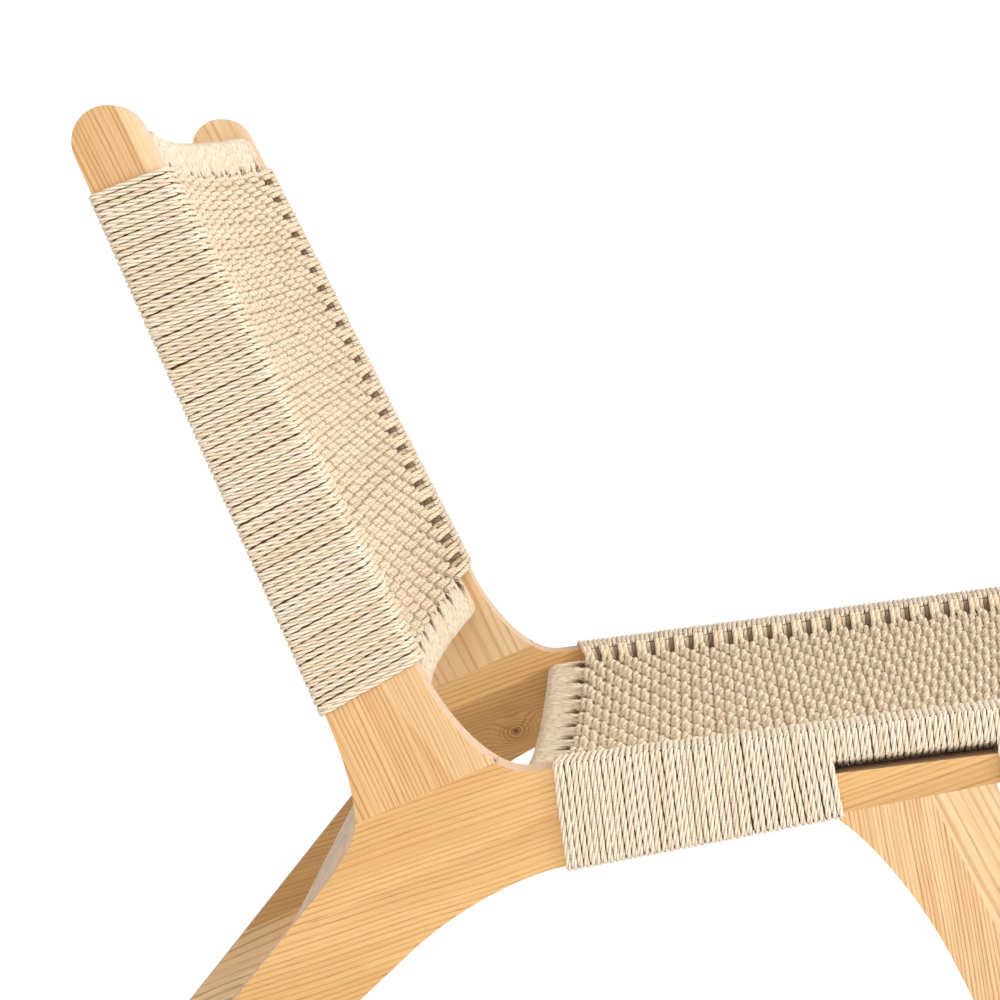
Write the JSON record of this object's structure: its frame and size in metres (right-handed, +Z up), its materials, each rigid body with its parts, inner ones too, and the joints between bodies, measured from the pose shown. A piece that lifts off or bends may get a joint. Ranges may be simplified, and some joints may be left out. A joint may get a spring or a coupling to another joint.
{
  "type": "lounge chair",
  "caption": "Low armless lounge chair: two bent side frames of glued boards, joined by rails, with a seat and a back woven in cord that also wraps the frames.",
  "frame": {"origin": "floor under the middle of the chair's bounding box", "axes": "+Z up; +Y towards the back of the chair, so the sitter faces -Y; +X towards the sitter's left"},
  "size_m": [0.6584, 0.7957, 0.7598],
  "materials": {
    "ash": "oiled, satin",
    "pale_ash": "oiled, satin",
    "dowel_wood": "raw, glued in",
    "paper_cord": "three-ply twisted, matte",
    "glide": "matte"
  },
  "bodies": {
    "root": {"right_back_upright": "ash", "left_back_upright": "ash", "right_knee_board": "ash", "left_knee_board": "ash", "right_side_rail": "ash", "left_side_rail": "ash", "right_heel_board": "pale_ash", "left_heel_board": "pale_ash", "right_leg_rear_board": "pale_ash", "left_leg_rear_board": "pale_ash", "right_leg_front_board": "ash", "left_leg_front_board": "ash", "back_top_rail": "ash", "back_bottom_rail": "ash", "seat_rear_rail": "ash", "seat_front_rail": "ash", "rear_stretcher": "pale_ash", "right_upright_dowels": "dowel_wood", "left_upright_dowels": "dowel_wood", "right_leg_dowels": "dowel_wood", "left_leg_dowels": "dowel_wood", "back_rail_dowels": "dowel_wood", "seat_rail_dowels": "dowel_wood", "stretcher_dowels": "dowel_wood", "foot_glides": "glide", "right_back_wrap": "paper_cord", "left_back_wrap": "paper_cord", "right_seat_rear_wrap": "paper_cord", "left_seat_rear_wrap": "paper_cord", "right_slot_wrap": "paper_cord", "left_slot_wrap": "paper_cord", "right_seat_front_wrap": "paper_cord", "left_seat_front_wrap": "paper_cord", "back_top_rail_wrap": "paper_cord", "back_bottom_rail_wrap": "paper_cord", "seat_rear_rail_wrap": "paper_cord", "seat_front_rail_wrap": "paper_cord", "back_weave": "paper_cord", "seat_weave": "paper_cord"}
  },
  "joints": []
}
